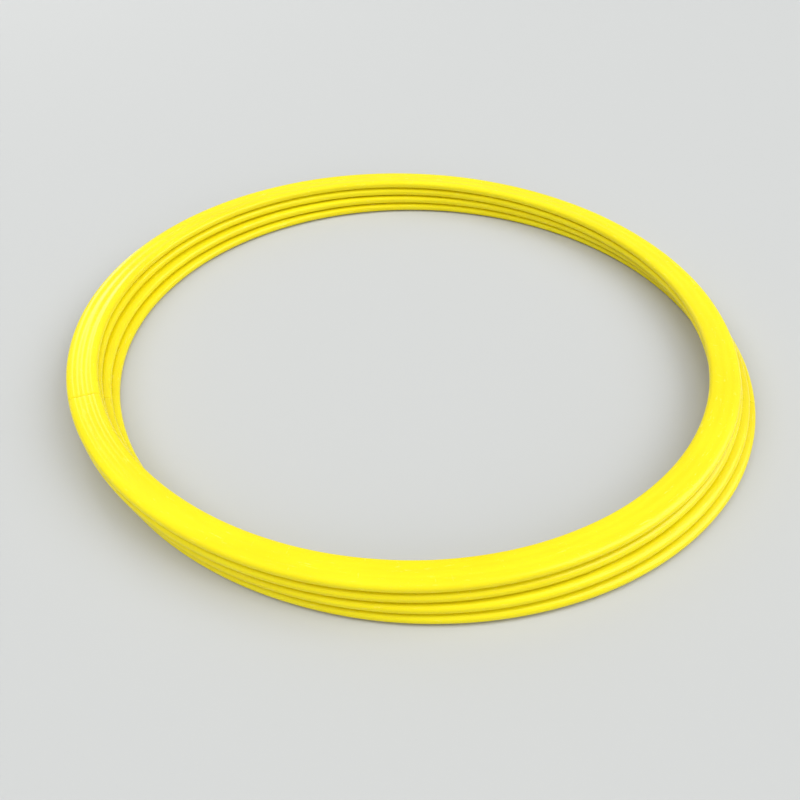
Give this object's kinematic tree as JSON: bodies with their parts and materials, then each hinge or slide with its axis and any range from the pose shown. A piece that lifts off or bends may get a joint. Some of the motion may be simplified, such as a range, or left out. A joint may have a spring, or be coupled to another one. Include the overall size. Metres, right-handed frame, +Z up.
{
  "type": "flat hoop stack",
  "caption": "Stack of flat round plastic hoops with rounded edges, for stepping drills, ring games, juggling and hoop practice; each hoop lifts off the one below.",
  "frame": {"origin": "on the ground, under the middle of the stack's bounding box", "axes": "+Z up through the open middle of the stack; the view shown in use looks along +Y"},
  "size_m": [0.6163, 0.6073, 0.032],
  "materials": {
    "hoop_plastic": "satin gloss moulded polyethylene, bright yellow",
    "plug_plastic": "natural moulded nylon",
    "pin_plastic": "moulded nylon, yellow"
  },
  "bodies": {
    "bottom_hoop": {"bottom_hoop_tube": "hoop_plastic", "bottom_hoop_plug": "plug_plastic", "bottom_hoop_pin_left": "pin_plastic", "bottom_hoop_pin_right": "pin_plastic"},
    "second_hoop": {"second_hoop_tube": "hoop_plastic", "second_hoop_plug": "plug_plastic", "second_hoop_pin_left": "pin_plastic", "second_hoop_pin_right": "pin_plastic"},
    "third_hoop": {"third_hoop_tube": "hoop_plastic", "third_hoop_plug": "plug_plastic", "third_hoop_pin_left": "pin_plastic", "third_hoop_pin_right": "pin_plastic"},
    "top_hoop": {"top_hoop_tube": "hoop_plastic", "top_hoop_plug": "plug_plastic", "top_hoop_pin_left": "pin_plastic", "top_hoop_pin_right": "pin_plastic"}
  },
  "joints": [
    {"name": "second_hoop_lift", "type": "slide", "parent": "bottom_hoop", "child": "second_hoop", "axis": [0, 0, 1], "range_m": [0, 0.12]},
    {"name": "third_hoop_lift", "type": "slide", "parent": "second_hoop", "child": "third_hoop", "axis": [0, 0, 1], "range_m": [0, 0.12]},
    {"name": "top_hoop_lift", "type": "slide", "parent": "third_hoop", "child": "top_hoop", "axis": [0, 0, 1], "range_m": [0, 0.12]}
  ]
}
